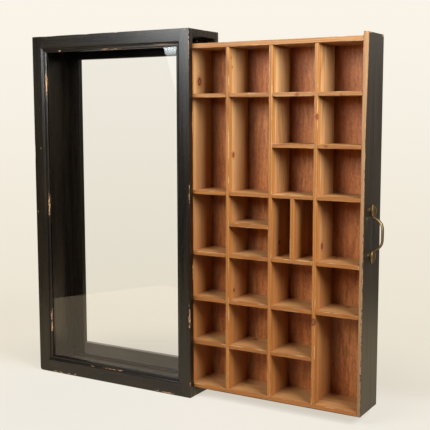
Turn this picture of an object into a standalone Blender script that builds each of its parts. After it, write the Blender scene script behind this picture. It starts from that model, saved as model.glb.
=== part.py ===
"""Wall display cabinet.

A black wooden case, glazed at the front and open at the back, holds a pine tray of
compartments. The tray slides out through the case's open right side on two runners.
The front faces -Y and the tray comes out towards +X. It is drawn pulled out.
All lengths are in metres. The origin is the middle of the case's underside.
"""
from math import acos, cos, pi, sin, sqrt

import bmesh
import bpy
from mathutils import Matrix, Vector

# Fits and edges that every piece shares
JOINT_GAP = 0.0003
CUT_OVERRUN = 0.003
MERGE_DISTANCE = 0.000003
ARRIS = 0.0005

# Case carcass
CASE_WIDTH = 0.346
CASE_HEIGHT = 0.640
CASE_DEPTH = 0.099
CASE_BOARD = 0.012

# Front frame: flat faces, then a moulded sticking down to the glass
FRONT_THICKNESS = 0.012
STILE_FLAT = 0.0193
TOP_RAIL_FLAT = 0.0205
BOTTOM_RAIL_FLAT = 0.0220
OVOLO_WIDTH = 0.0044
OVOLO_DEPTH = 0.0026
FILLET_WIDTH = 0.0003
STEP_DEPTH = 0.0013
BEAD_FLAT = 0.0023
BEAD_RADIUS = 0.0022
REBATE_WIDTH = 0.0050
LIP_BACK = 0.0012
OVOLO_STEPS = 4
BEAD_STEPS = 4

# Glass and the beads that hold it
GLASS_THICKNESS = 0.0020
GLASS_PLAY = 0.0005

# Back frame
BACK_THICKNESS = 0.010
BACK_STILE_WIDTH = 0.0375
BACK_TOP_RAIL_WIDTH = 0.0385
BACK_BOTTOM_RAIL_WIDTH = 0.0395

# Runners under the tray, and the bar that stops it flush with the case
RUNNER_HEIGHT = 0.0042
RUNNER_WIDTH = 0.012
STOP_LENGTH = 0.0137
STOP_HEIGHT = 0.0080

# Keyhole plates let into the back of the top rail, for hanging on two wall screws
PLATE_LENGTH = 0.050
PLATE_WIDTH = 0.016
PLATE_THICKNESS = 0.002
PLATE_FROM_STILE = 0.0055
KEYHOLE_RADIUS = 0.0040
KEYSLOT_RADIUS = 0.0022
KEYSLOT_RISE = 0.0040
KEYHOLE_SIDES = 16
POCKET_LENGTH = 0.024
POCKET_DEPTH = 0.005
PLATE_SCREW_INSET = 0.0055
PLATE_SCREW_RADIUS = 0.0015
PLATE_SCREW_HEAD_RADIUS = 0.0028
PLATE_SCREW_HEAD_THICKNESS = 0.0014
PLATE_SCREW_LENGTH = 0.0085
SCREW_SIDES = 12
SCREW_SLOT_WIDTH = 0.0009
SCREW_SLOT_DEPTH = 0.0007

# Tray: how it fits the case
TRAY_PLAY = 0.0010
TRAY_HEADROOM = 0.0132
TRAY_HOLD = 0.0105

# Tray: boards
TRAY_TOP_BOARD = 0.0081
TRAY_BOTTOM_BOARD = 0.0077
TRAY_END_BOARD = 0.0060
TRAY_END_LIP = 0.0063
DIVIDER_THICKNESS = 0.0061
SHELF_THICKNESS = 0.0067
UPRIGHT_THICKNESS = 0.0066
PANEL_THICKNESS = 0.0040
PANEL_INSET = 0.0020

# Tray: clear widths of the columns and clear heights of the rows, from left and from below
COLUMN_SHARES = (0.236, 0.255, 0.255, 0.254)
ROW_SHARES = (0.132, 0.132, 0.135, 0.183, 0.139, 0.1395, 0.1395)
# Each column's rows from below. S has a shelf over it, and a dash runs on into the next row.
# H and U have a shelf over them too: H is halved by one more shelf, and U by an upright.
SHELF_PLAN = ("SSSS-S", "SSSH-S", "SSSUSS", "-SSSSS")
HALF_SHELF_SHARE = 0.507
UPRIGHT_SHARE = 0.5

# Pull handle on the tray's outer end: a strap between two leaf-shaped feet
HANDLE_HEIGHT = 0.290
HANDLE_HALF_LENGTH = 0.048
FOOT_LENGTH = 0.0225
FOOT_WIDTH = 0.0180
FOOT_THICKNESS = 0.0044
FOOT_DISH = 0.0007
STRAP_HALF_SPAN = 0.026
STRAP_REACH = 0.0160
STRAP_WIDTH = 0.0074
STRAP_NECK_WIDTH = 0.0044
STRAP_THICKNESS = 0.0030
STRAP_BEND = 0.0016
TIP_THICKNESS = 0.0014
TIP_WIDTH = 0.0016
BOW_POWER = 4.6
LEAF_POWER = 0.75
EDGE_SHARE = 0.35
HANDLE_STATIONS = 49
HANDLE_SECTION_STEPS = 10

# Screws that hold the handle from inside the tray
HANDLE_SCREW_RADIUS = 0.0015
HANDLE_SCREW_HEAD_RADIUS = 0.0032
HANDLE_SCREW_HEAD_THICKNESS = 0.0018

# Places worked out from the sizes above
CASE_LEFT = -CASE_WIDTH / 2
CASE_RIGHT = CASE_WIDTH / 2
CASE_FRONT = -CASE_DEPTH / 2
CASE_BACK = CASE_DEPTH / 2
FRAME_BACK = CASE_FRONT + FRONT_THICKNESS
BACK_FRAME_FRONT = CASE_BACK - BACK_THICKNESS
STICKING_WIDTH = OVOLO_WIDTH + FILLET_WIDTH + BEAD_FLAT + BEAD_RADIUS
LIP_DEPTH = OVOLO_DEPTH + STEP_DEPTH + BEAD_RADIUS + LIP_BACK
TRAY_FRONT = FRAME_BACK + TRAY_PLAY
TRAY_DEPTH = BACK_FRAME_FRONT - TRAY_PLAY - TRAY_FRONT
RUNNER_TOP = CASE_BOARD + JOINT_GAP + RUNNER_HEIGHT
TRAY_UNDERSIDE = RUNNER_TOP + JOINT_GAP
TRAY_HEIGHT = CASE_HEIGHT - CASE_BOARD - TRAY_HEADROOM - TRAY_UNDERSIDE
TRAY_LENGTH = CASE_WIDTH - CASE_BOARD - STOP_LENGTH - JOINT_GAP
TRAY_OUT = TRAY_LENGTH - TRAY_HOLD
SLAT_DEPTH = TRAY_DEPTH - PANEL_INSET - PANEL_THICKNESS - JOINT_GAP

# Finishes: colour, roughness, metallic
BLACK_PAINT = ((0.030, 0.027, 0.023), 0.42, 0.0)
PINE = ((0.62, 0.37, 0.16), 0.55, 0.0)
RED_PLY = ((0.36, 0.13, 0.055), 0.62, 0.0)
PANE = ((0.85, 0.88, 0.87), 0.05, 0.0)
OLD_BRASS = ((0.33, 0.24, 0.11), 0.38, 1.0)
STEEL = ((0.55, 0.55, 0.54), 0.40, 1.0)


def clear_scene():
    for thing in list(bpy.data.objects):
        bpy.data.objects.remove(thing, do_unlink=True)


def finish_material(name, finish):
    colour, roughness, metallic = finish
    material = bpy.data.materials.new(name)
    material.use_nodes = True
    shader = material.node_tree.nodes["Principled BSDF"]
    shader.inputs["Base Color"].default_value = (*colour, 1.0)
    shader.inputs["Roughness"].default_value = roughness
    shader.inputs["Metallic"].default_value = metallic
    material.diffuse_color = (*colour, 1.0)
    return material


def add_object(name, shape, finish=None, parent=None):
    """Turn a bmesh into a named object, with a material of its own when it has a finish."""
    bmesh.ops.recalc_face_normals(shape, faces=shape.faces)
    mesh = bpy.data.meshes.new(name)
    shape.to_mesh(mesh)
    shape.free()
    thing = bpy.data.objects.new(name, mesh)
    bpy.context.collection.objects.link(thing)
    thing.parent = parent
    if finish:
        mesh.materials.append(finish_material(name, finish))
    return thing


def box_shape(low, high, arris=0.0):
    """A block between two corners, its edges eased by a small bevel."""
    low, high = Vector(low), Vector(high)
    shape = bmesh.new()
    bmesh.ops.create_cube(shape, size=1.0)
    bmesh.ops.scale(shape, vec=high - low, verts=shape.verts)
    bmesh.ops.translate(shape, vec=(low + high) / 2, verts=shape.verts)
    if arris:
        bmesh.ops.bevel(shape, geom=shape.edges[:], offset=arris, segments=1,
                        profile=0.5, affect="EDGES", material=-1)
    return shape


def board(name, low, high, finish, parent=None):
    return add_object(name, box_shape(low, high, ARRIS), finish, parent)


def join_shape(target, part):
    """Add the faces of one bmesh to another, as a separate body."""
    mesh = bpy.data.meshes.new("joining")
    part.to_mesh(mesh)
    part.free()
    target.from_mesh(mesh)
    bpy.data.meshes.remove(mesh)


def turned_shape(profile, sides, place):
    """Spin (radius, height) points about an axis. The profile starts and ends on it."""
    shape = bmesh.new()
    points = [shape.verts.new((radius, 0.0, height)) for radius, height in profile]
    edges = [shape.edges.new(pair) for pair in zip(points, points[1:])]
    bmesh.ops.spin(shape, geom=points + edges, cent=(0, 0, 0), axis=(0, 0, 1), dvec=(0, 0, 0),
                   angle=2 * pi, steps=sides, use_merge=True, use_duplicate=False)
    bmesh.ops.remove_doubles(shape, verts=shape.verts, dist=MERGE_DISTANCE)
    bmesh.ops.transform(shape, matrix=place, verts=shape.verts)
    return shape


def prism_shape(outline, start, end, place):
    """Extrude a flat outline from one height to another."""
    shape = bmesh.new()
    face = shape.faces.new([shape.verts.new((x, y, start)) for x, y in outline])
    grown = bmesh.ops.extrude_face_region(shape, geom=[face])
    top = [item for item in grown["geom"] if isinstance(item, bmesh.types.BMVert)]
    bmesh.ops.translate(shape, vec=(0, 0, end - start), verts=top)
    bmesh.ops.transform(shape, matrix=place, verts=shape.verts)
    return shape


def cut(target, name, shape):
    """Take a shape out of an object with an exact Boolean."""
    cutter = add_object(name, shape, parent=target.parent)
    cutter.hide_render = True
    cutter.display_type = "WIRE"
    step = target.modifiers.new(name, "BOOLEAN")
    step.operation = "DIFFERENCE"
    step.solver = "EXACT"
    step.object = cutter


# Case: carcass boards


def make_carcass():
    front = FRAME_BACK + JOINT_GAP
    back = BACK_FRAME_FRONT - JOINT_GAP
    side_right = CASE_LEFT + CASE_BOARD
    top_underside = CASE_HEIGHT - CASE_BOARD
    board("case_top", (CASE_LEFT, front, top_underside),
          (CASE_RIGHT, back, CASE_HEIGHT), BLACK_PAINT)
    board("case_bottom", (CASE_LEFT, front, 0), (CASE_RIGHT, back, CASE_BOARD), BLACK_PAINT)
    board("case_left_side", (CASE_LEFT, front, CASE_BOARD + JOINT_GAP),
          (side_right, back, top_underside - JOINT_GAP), BLACK_PAINT)


# Case: moulded front frame


def sticking_points():
    """The moulded edge from the flat face to the glass, as (across, depth) from the flat."""
    points = []
    for step in range(OVOLO_STEPS + 1):
        turn = step / OVOLO_STEPS * pi / 2
        points.append((OVOLO_WIDTH * sin(turn), OVOLO_DEPTH * (1 - cos(turn))))
    bead_start = OVOLO_WIDTH + FILLET_WIDTH
    bead_top = OVOLO_DEPTH + STEP_DEPTH
    points.append((bead_start, bead_top))
    for step in range(BEAD_STEPS + 1):
        turn = step / BEAD_STEPS * pi / 2
        across = bead_start + BEAD_FLAT + BEAD_RADIUS * sin(turn)
        points.append((across, bead_top + BEAD_RADIUS * (1 - cos(turn))))
    points.append((STICKING_WIDTH, LIP_DEPTH))
    points.append((STICKING_WIDTH - REBATE_WIDTH, LIP_DEPTH))
    points.append((STICKING_WIDTH - REBATE_WIDTH, FRONT_THICKNESS))
    return points


def member_end(shape, sign, flat, half_length, mitre_from):
    """One end of a frame member: its outer corners, its shoulder corners and its moulding."""

    def vert(along, across, depth):
        return shape.verts.new((sign * along, across, depth))

    outer = [vert(half_length, 0, 0), vert(half_length, 0, FRONT_THICKNESS)]
    moulded = [vert(mitre_from - across, flat + across, depth)
               for across, depth in sticking_points()]
    moulded.append(vert(mitre_from, flat, FRONT_THICKNESS))
    corners = [moulded[0], moulded[-1]]
    if half_length - mitre_from > JOINT_GAP:
        corners = [vert(half_length, flat, 0), vert(half_length, flat, FRONT_THICKNESS)]
        shape.faces.new((corners[0], moulded[0], moulded[-1], corners[1]))
    shape.faces.new((outer[0], corners[0], corners[1], outer[1]))
    shape.faces.new(moulded)
    return outer, corners, moulded


def member_shape(flat, half_length, mitres, place):
    """A frame member along its own X, with its outer edge at Y 0 and its face at Z 0.

    The flat part ends square at half_length. At each end the sticking is mitred from where
    it leaves the flat, so a stile that runs on past a rail has a shoulder there.
    """
    shape = bmesh.new()
    first_end = member_end(shape, -1, flat, half_length, mitres[0])
    second_end = member_end(shape, 1, flat, half_length, mitres[1])
    outer_a, corner_a, moulded_a = first_end
    outer_b, corner_b, moulded_b = second_end
    shape.faces.new((outer_a[0], outer_a[1], outer_b[1], outer_b[0]))
    for side in (0, -1):
        loop = [outer_a[side], corner_a[side], moulded_a[side]]
        loop += [moulded_b[side], corner_b[side], outer_b[side]]
        shape.faces.new(list(dict.fromkeys(loop)))
    for a, next_a, b, next_b in zip(moulded_a, moulded_a[1:], moulded_b, moulded_b[1:]):
        shape.faces.new((a, next_a, next_b, b))
    bmesh.ops.transform(shape, matrix=place, verts=shape.verts)
    return shape


def frame_axes(along, across, origin):
    """Place a member: its length along one direction, its width along another, depth to +Y."""
    turn = Matrix((along, across, (0, 1, 0))).transposed().to_4x4()
    return Matrix.Translation(origin) @ turn


def make_front_frame():
    half_height = CASE_HEIGHT / 2
    rail_half = CASE_WIDTH / 2 - STILE_FLAT - JOINT_GAP
    for name, flat, across, z in (("top", TOP_RAIL_FLAT, (0, 0, -1), CASE_HEIGHT),
                                  ("bottom", BOTTOM_RAIL_FLAT, (0, 0, 1), 0)):
        place = frame_axes((1, 0, 0), across, (0, CASE_FRONT, z))
        shape = member_shape(flat, rail_half, (rail_half, rail_half), place)
        add_object("front_rail_" + name, shape, BLACK_PAINT)
    stile_mitres = (half_height - BOTTOM_RAIL_FLAT, half_height - TOP_RAIL_FLAT)
    for name, across, x in (("left", (1, 0, 0), CASE_LEFT), ("right", (-1, 0, 0), CASE_RIGHT)):
        place = frame_axes((0, 0, 1), across, (x, CASE_FRONT, half_height))
        shape = member_shape(STILE_FLAT, half_height, stile_mitres, place)
        add_object("front_stile_" + name, shape, BLACK_PAINT)


# Case: glass and its beads


def opening_edges(inset):
    """Left, right, bottom and top of the front frame's sight opening, moved outwards."""
    across = STICKING_WIDTH - inset
    return (CASE_LEFT + STILE_FLAT + across, CASE_RIGHT - STILE_FLAT - across,
            BOTTOM_RAIL_FLAT + across, CASE_HEIGHT - TOP_RAIL_FLAT - across)


def make_glazing():
    glass_front = CASE_FRONT + LIP_DEPTH + JOINT_GAP
    glass_back = glass_front + GLASS_THICKNESS
    left, right, low, high = opening_edges(REBATE_WIDTH - GLASS_PLAY)
    add_object("front_glass", box_shape((left, glass_front, low), (right, glass_back, high)), PANE)

    front = glass_back + JOINT_GAP
    left, right, low, high = opening_edges(REBATE_WIDTH - JOINT_GAP)
    inner_left, inner_right, inner_low, inner_high = opening_edges(0.0)
    beads = {
        "left": ((left, front, low), (inner_left, FRAME_BACK, high)),
        "right": ((inner_right, front, low), (right, FRAME_BACK, high)),
        "bottom": ((inner_left + JOINT_GAP, front, low),
                   (inner_right - JOINT_GAP, FRAME_BACK, inner_low)),
        "top": ((inner_left + JOINT_GAP, front, inner_high),
                (inner_right - JOINT_GAP, FRAME_BACK, high)),
    }
    for name, (corner, opposite) in beads.items():
        board("glass_bead_" + name, corner, opposite, BLACK_PAINT)


# Case: back frame and its hanging plates


def make_back_frame():
    front, back = BACK_FRAME_FRONT, CASE_BACK
    inner_left = CASE_LEFT + BACK_STILE_WIDTH
    inner_right = CASE_RIGHT - BACK_STILE_WIDTH
    board("back_stile_left", (CASE_LEFT, front, 0), (inner_left, back, CASE_HEIGHT), BLACK_PAINT)
    board("back_stile_right", (inner_right, front, 0), (CASE_RIGHT, back, CASE_HEIGHT),
          BLACK_PAINT)
    rail_left, rail_right = inner_left + JOINT_GAP, inner_right - JOINT_GAP
    board("back_rail_bottom", (rail_left, front, 0), (rail_right, back, BACK_BOTTOM_RAIL_WIDTH),
          BLACK_PAINT)
    rail = board("back_rail_top", (rail_left, front, CASE_HEIGHT - BACK_TOP_RAIL_WIDTH),
                 (rail_right, back, CASE_HEIGHT), BLACK_PAINT)
    plate_height = CASE_HEIGHT - BACK_TOP_RAIL_WIDTH / 2
    plate_offset = PLATE_FROM_STILE + PLATE_LENGTH / 2
    make_hanging_plate(rail, "left", inner_left + plate_offset, plate_height)
    make_hanging_plate(rail, "right", inner_right - plate_offset, plate_height)


def facing_back(x, z):
    """A frame on the case's back: local X to +X, local Y up, local Z out of the back."""
    turn = Matrix(((1, 0, 0), (0, 0, 1), (0, 1, 0))).transposed().to_4x4()
    return Matrix.Translation((x, CASE_BACK, z)) @ turn


def keyhole_outline():
    """A round hole for the screw's head with a narrower slot rising from it."""
    half_angle = acos(KEYSLOT_RADIUS / KEYHOLE_RADIUS)
    points = []
    for step in range(KEYHOLE_SIDES + 1):
        turn = half_angle - step / KEYHOLE_SIDES * (pi + 2 * half_angle)
        points.append((KEYHOLE_RADIUS * cos(turn), KEYHOLE_RADIUS * sin(turn)))
    slot_top = KEYHOLE_RADIUS + KEYSLOT_RISE - KEYSLOT_RADIUS
    for step in range(KEYHOLE_SIDES // 2 + 1):
        turn = pi - step / (KEYHOLE_SIDES // 2) * pi
        points.append((KEYSLOT_RADIUS * cos(turn), slot_top + KEYSLOT_RADIUS * sin(turn)))
    return points


def plate_screw_profile(clearance):
    head = PLATE_SCREW_HEAD_RADIUS + clearance
    shank = PLATE_SCREW_RADIUS + clearance
    neck = -PLATE_SCREW_HEAD_THICKNESS - clearance
    end = -PLATE_SCREW_LENGTH - clearance
    if clearance:
        return ((0.0, CUT_OVERRUN), (head, CUT_OVERRUN), (head, 0.0), (shank, neck),
                (shank, end), (0.0, end))
    return ((0.0, 0.0), (head, 0.0), (shank, neck), (shank, end + shank), (0.0, end))


def driver_slot_shape(place):
    """A slot across a screw's head, which lies at the top of its own axis."""
    reach = PLATE_SCREW_HEAD_RADIUS + CUT_OVERRUN
    slot = box_shape((-reach, -SCREW_SLOT_WIDTH / 2, -SCREW_SLOT_DEPTH),
                     (reach, SCREW_SLOT_WIDTH / 2, CUT_OVERRUN))
    bmesh.ops.transform(slot, matrix=place, verts=slot.verts)
    return slot


def plate_box(x, z, grow, front, back):
    """A box over a hanging plate, grown all round, between two depths from the case's back."""
    half_length, half_width = PLATE_LENGTH / 2 + grow, PLATE_WIDTH / 2 + grow
    return ((x - half_length, CASE_BACK - front, z - half_width),
            (x + half_length, CASE_BACK + back, z + half_width))


def make_hanging_plate(rail, name, x, z):
    """A plate let into the rail flush, over a pocket for the wall screw's head."""
    place = facing_back(x, z)
    plate = add_object("hanging_plate_" + name,
                       box_shape(*plate_box(x, z, 0, PLATE_THICKNESS, 0), ARRIS / 2), STEEL)
    drop = KEYSLOT_RISE / 2
    keyhole = prism_shape([(across, up - drop) for across, up in keyhole_outline()],
                          -PLATE_THICKNESS - CUT_OVERRUN, CUT_OVERRUN, place)
    cut(plate, name + "_keyhole", keyhole)
    recess_depth = PLATE_THICKNESS + JOINT_GAP
    cut(rail, name + "_plate_recess",
        box_shape(*plate_box(x, z, JOINT_GAP, recess_depth, CUT_OVERRUN)))
    pocket_half_height = PLATE_WIDTH / 2 - ARRIS
    pocket_front = CASE_BACK - recess_depth - POCKET_DEPTH
    cut(rail, name + "_head_pocket",
        box_shape((x - POCKET_LENGTH / 2, pocket_front, z - pocket_half_height),
                  (x + POCKET_LENGTH / 2, CASE_BACK, z + pocket_half_height)))
    holes = bmesh.new()
    screw_offset = PLATE_LENGTH / 2 - PLATE_SCREW_INSET
    for number, offset in enumerate((-screw_offset, screw_offset), start=1):
        spot = place @ Matrix.Translation((offset, 0, 0))
        screw = turned_shape(plate_screw_profile(0.0), SCREW_SIDES, spot)
        screw = add_object(f"plate_screw_{name}_{number}", screw, STEEL)
        cut(screw, f"{name}_{number}_driver_slot", driver_slot_shape(spot))
        join_shape(holes, turned_shape(plate_screw_profile(JOINT_GAP), SCREW_SIDES, spot))
    cut(plate, name + "_plate_screw_holes", holes.copy())
    cut(rail, name + "_rail_screw_holes", holes)


# Case: runners and stop


def make_runners():
    left, right = CASE_LEFT + CASE_BOARD + JOINT_GAP, CASE_RIGHT - ARRIS
    strips = {
        "front": (FRAME_BACK + JOINT_GAP, FRAME_BACK + JOINT_GAP + RUNNER_WIDTH),
        "back": (BACK_FRAME_FRONT - JOINT_GAP - RUNNER_WIDTH, BACK_FRAME_FRONT - JOINT_GAP),
    }
    for name, (near, far) in strips.items():
        board("runner_" + name, (left, near, CASE_BOARD + JOINT_GAP), (right, far, RUNNER_TOP),
              BLACK_PAINT)
    stop_low = RUNNER_TOP + JOINT_GAP
    board("tray_stop", (left, strips["front"][0], stop_low),
          (left + STOP_LENGTH - JOINT_GAP, strips["back"][1], stop_low + STOP_HEIGHT),
          BLACK_PAINT)


# Tray: boards, dividers and shelves, drawn from the slot, the tray's front and its underside


def tray_columns():
    """The left and right of each column's clear space."""
    clear = TRAY_LENGTH - 2 * TRAY_END_BOARD - (len(COLUMN_SHARES) - 1) * DIVIDER_THICKNESS
    left = TRAY_OUT - TRAY_LENGTH + TRAY_END_BOARD
    for share in COLUMN_SHARES:
        right = left + share * clear
        yield left, right
        left = right + DIVIDER_THICKNESS


def tray_rows():
    """The bottom and top of each row's clear space."""
    clear = TRAY_HEIGHT - TRAY_BOTTOM_BOARD - TRAY_TOP_BOARD
    clear -= (len(ROW_SHARES) - 1) * SHELF_THICKNESS
    low = TRAY_BOTTOM_BOARD
    for share in ROW_SHARES:
        high = low + share * clear
        yield low, high
        low = high + SHELF_THICKNESS


def make_tray_frame(slide):
    left, right = TRAY_OUT - TRAY_LENGTH, TRAY_OUT
    inner_left = left + TRAY_END_BOARD + JOINT_GAP
    inner_right = right - TRAY_END_BOARD - JOINT_GAP
    board("tray_end_left", (left, 0, 0), (left + TRAY_END_BOARD, TRAY_DEPTH, TRAY_HEIGHT),
          PINE, slide)
    board("tray_bottom", (inner_left, 0, 0), (inner_right, TRAY_DEPTH, TRAY_BOTTOM_BOARD),
          PINE, slide)
    board("tray_top", (inner_left, 0, TRAY_HEIGHT - TRAY_TOP_BOARD),
          (inner_right, TRAY_DEPTH, TRAY_HEIGHT), PINE, slide)
    panel_front = SLAT_DEPTH + JOINT_GAP
    board("tray_back_panel",
          (inner_left, panel_front, TRAY_BOTTOM_BOARD + JOINT_GAP),
          (inner_right, panel_front + PANEL_THICKNESS, TRAY_HEIGHT - TRAY_TOP_BOARD - JOINT_GAP),
          RED_PLY, slide)
    return board("tray_end_right", (right - TRAY_END_BOARD, 0, 0),
                 (right, TRAY_DEPTH, TRAY_HEIGHT + TRAY_END_LIP), PINE, slide)


def make_dividers(slide):
    columns = list(tray_columns())
    low, high = TRAY_BOTTOM_BOARD + JOINT_GAP, TRAY_HEIGHT - TRAY_TOP_BOARD - JOINT_GAP
    for number, (_, right) in enumerate(columns[:-1], start=1):
        board(f"tray_divider_{number}", (right, 0, low),
              (right + DIVIDER_THICKNESS, SLAT_DEPTH, high), PINE, slide)


def make_upright(slide, column, row):
    (left, right), (low, high) = column, row
    upright_left = left + UPRIGHT_SHARE * (right - left - UPRIGHT_THICKNESS)
    board("tray_upright", (upright_left, 0, low + JOINT_GAP),
          (upright_left + UPRIGHT_THICKNESS, SLAT_DEPTH, high - JOINT_GAP), PINE, slide)


def make_shelves(slide):
    rows = list(tray_rows())
    for number, (column, plan) in enumerate(zip(tray_columns(), SHELF_PLAN), start=1):
        undersides = []
        for (low, high), mark in zip(rows, plan):
            if mark == "H":
                undersides.append(low + HALF_SHELF_SHARE * (high - low - SHELF_THICKNESS))
            if mark == "U":
                make_upright(slide, column, (low, high))
            if mark != "-":
                undersides.append(high)
        left, right = column
        for level, underside in enumerate(undersides, start=1):
            board(f"shelf_{number}_{level}", (left + JOINT_GAP, 0, underside),
                  (right - JOINT_GAP, SLAT_DEPTH, underside + SHELF_THICKNESS), PINE, slide)


# Handle


def bow(height):
    """How far the strap's inner side stands off the board at a height from the middle."""
    rise = STRAP_REACH * (1 - (abs(height) / STRAP_HALF_SPAN) ** BOW_POWER)
    return (rise + sqrt(rise * rise + STRAP_BEND * STRAP_BEND)) / 2


def foot_share(height):
    """Nought at a foot's two ends and on the strap, one at its middle."""
    from_tip = (HANDLE_HALF_LENGTH - abs(height)) / FOOT_LENGTH
    return sin(pi * from_tip) if 0.0 < from_tip < 1.0 else 0.0


def strap_share(height):
    """One at the middle of the grip, falling to nought where it meets the feet."""
    return max(0.0, 1 - (height / STRAP_HALF_SPAN) ** 2)


def handle_section(height):
    """Half-width, thickness and dish of the handle at a height from its middle."""
    foot = foot_share(height)
    on_strap = abs(height) < HANDLE_HALF_LENGTH - FOOT_LENGTH / 2
    least_width = STRAP_NECK_WIDTH if on_strap else TIP_WIDTH
    least_thickness = STRAP_THICKNESS if on_strap else TIP_THICKNESS
    strap_width = least_width + (STRAP_WIDTH - STRAP_NECK_WIDTH) * strap_share(height)
    width = max(strap_width, FOOT_WIDTH * foot ** LEAF_POWER)
    thickness = least_thickness + (FOOT_THICKNESS - least_thickness) * foot
    return width / 2, thickness, FOOT_DISH * foot


def section_outline(half_width, thickness, dish):
    """A flat back and a domed front, hollowed a little where the foot is dished."""
    points = []
    for step in range(HANDLE_SECTION_STEPS + 1):
        turn = pi * step / HANDLE_SECTION_STEPS
        across = -cos(turn)
        swell = EDGE_SHARE + (1 - EDGE_SHARE) * sqrt(max(0.0, sin(turn)))
        points.append((half_width * across,
                       thickness * swell - dish * (1 - across * across) ** 2))
    points.append((half_width, 0.0))
    points.append((-half_width, 0.0))
    return points


def handle_shape():
    """Loft the sections along the bow. X is out of the board, Z up and Y across."""
    shape = bmesh.new()
    loops = []
    reach = HANDLE_HALF_LENGTH - TIP_WIDTH / 2
    for station in range(HANDLE_STATIONS):
        height = reach * (2 * station / (HANDLE_STATIONS - 1) - 1)
        slope = (bow(height + STRAP_BEND / 2) - bow(height - STRAP_BEND / 2)) / STRAP_BEND
        outward = Vector((1, 0, -slope)).normalized()
        base = Vector((JOINT_GAP + bow(height), 0, height))
        outline = section_outline(*handle_section(height))
        loops.append([shape.verts.new(base + Vector((0, across, 0)) + outward * up)
                      for across, up in outline])
    for lower, upper in zip(loops, loops[1:]):
        for first in range(len(lower)):
            second = (first + 1) % len(lower)
            shape.faces.new((lower[first], lower[second], upper[second], upper[first]))
    shape.faces.new(loops[0])
    shape.faces.new(loops[-1])
    return shape


def out_of_end(height):
    """A frame on the tray's outer end face: local Z points out of the face, along +X."""
    turn = Matrix.Rotation(pi / 2, 4, "Y")
    return Matrix.Translation((TRAY_OUT, TRAY_DEPTH / 2, HANDLE_HEIGHT + height)) @ turn


def handle_screw_profile(clearance):
    """A pan head inside the tray and a shank that goes through the board into the foot."""
    inner = -TRAY_END_BOARD
    shank = HANDLE_SCREW_RADIUS + clearance
    end = JOINT_GAP + (FOOT_THICKNESS - FOOT_DISH) / 2 + clearance
    if clearance:
        return ((0.0, inner - CUT_OVERRUN), (shank, inner - CUT_OVERRUN), (shank, end), (0.0, end))
    seat = inner - JOINT_GAP
    head_top = seat - HANDLE_SCREW_HEAD_THICKNESS
    rim = HANDLE_SCREW_HEAD_RADIUS - HANDLE_SCREW_HEAD_THICKNESS / 2
    return ((0.0, head_top), (rim, head_top),
            (HANDLE_SCREW_HEAD_RADIUS, head_top + HANDLE_SCREW_HEAD_THICKNESS / 2),
            (HANDLE_SCREW_HEAD_RADIUS, seat), (shank, seat), (shank, end), (0.0, end))


def make_handle(slide, end_board):
    holes = bmesh.new()
    foot_middle = HANDLE_HALF_LENGTH - FOOT_LENGTH / 2
    for name, height in (("lower", -foot_middle), ("upper", foot_middle)):
        place = out_of_end(height)
        screw = turned_shape(handle_screw_profile(0.0), SCREW_SIDES, place)
        add_object("handle_screw_" + name, screw, STEEL, slide)
        join_shape(holes, turned_shape(handle_screw_profile(JOINT_GAP), SCREW_SIDES, place))
    shape = handle_shape()
    middle = (TRAY_OUT, TRAY_DEPTH / 2, HANDLE_HEIGHT)
    bmesh.ops.translate(shape, vec=middle, verts=shape.verts)
    handle = add_object("handle", shape, OLD_BRASS, slide)
    handle.data.shade_smooth()
    handle.data.set_sharp_from_angle(angle=pi / 3)
    cut(end_board, "end_board_screw_holes", holes.copy())
    cut(handle, "foot_screw_holes", holes)


def main():
    clear_scene()
    make_carcass()
    make_front_frame()
    make_glazing()
    make_back_frame()
    make_runners()
    slide = bpy.data.objects.new("tray_slide", None)
    slide.location = (CASE_RIGHT, TRAY_FRONT, TRAY_UNDERSIDE)
    bpy.context.collection.objects.link(slide)
    end_board = make_tray_frame(slide)
    make_dividers(slide)
    make_shelves(slide)
    make_handle(slide, end_board)


main()
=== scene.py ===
"""Looks of a wall display cabinet.

A glazed case in worn black paint, and the divided pine tray that slides out of its right side.
X runs along the case, Y from its front to its back and Z up from its underside.
"""

import math
from functools import reduce

import bmesh
import bpy
from mathutils import Matrix, Vector, noise


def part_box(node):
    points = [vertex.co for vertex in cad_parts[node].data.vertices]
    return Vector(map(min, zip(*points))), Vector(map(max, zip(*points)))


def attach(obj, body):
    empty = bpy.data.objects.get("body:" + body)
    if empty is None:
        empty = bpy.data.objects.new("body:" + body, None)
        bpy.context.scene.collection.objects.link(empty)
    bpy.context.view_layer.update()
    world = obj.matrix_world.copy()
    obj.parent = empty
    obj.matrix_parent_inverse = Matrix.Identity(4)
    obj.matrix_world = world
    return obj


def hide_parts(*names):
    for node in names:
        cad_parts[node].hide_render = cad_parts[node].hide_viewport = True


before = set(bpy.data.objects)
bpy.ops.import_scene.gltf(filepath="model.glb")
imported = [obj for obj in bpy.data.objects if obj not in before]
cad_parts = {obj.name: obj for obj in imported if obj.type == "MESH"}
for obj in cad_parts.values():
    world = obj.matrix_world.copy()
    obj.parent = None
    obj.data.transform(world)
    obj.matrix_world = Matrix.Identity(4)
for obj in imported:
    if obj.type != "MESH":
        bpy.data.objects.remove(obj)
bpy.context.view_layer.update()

MM = 0.001


def mm(x, y, z):
    """A point or a size given in millimetres."""
    return Vector((x, y, z)) * MM


# Shader maths


def screen_to_light(part):
    """One channel of a screen colour, from 0 to 255, as the amount of light it stands for."""
    share = part / 255
    return share / 12.92 if share <= 0.04045 else ((share + 0.055) / 1.055) ** 2.4


def shown(red, green, blue, gain=1.0):
    """The colour that a screen shows as this red, green and blue, for a shader's socket."""
    return tuple(screen_to_light(part) * gain for part in (red, green, blue)) + (1.0,)


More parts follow.
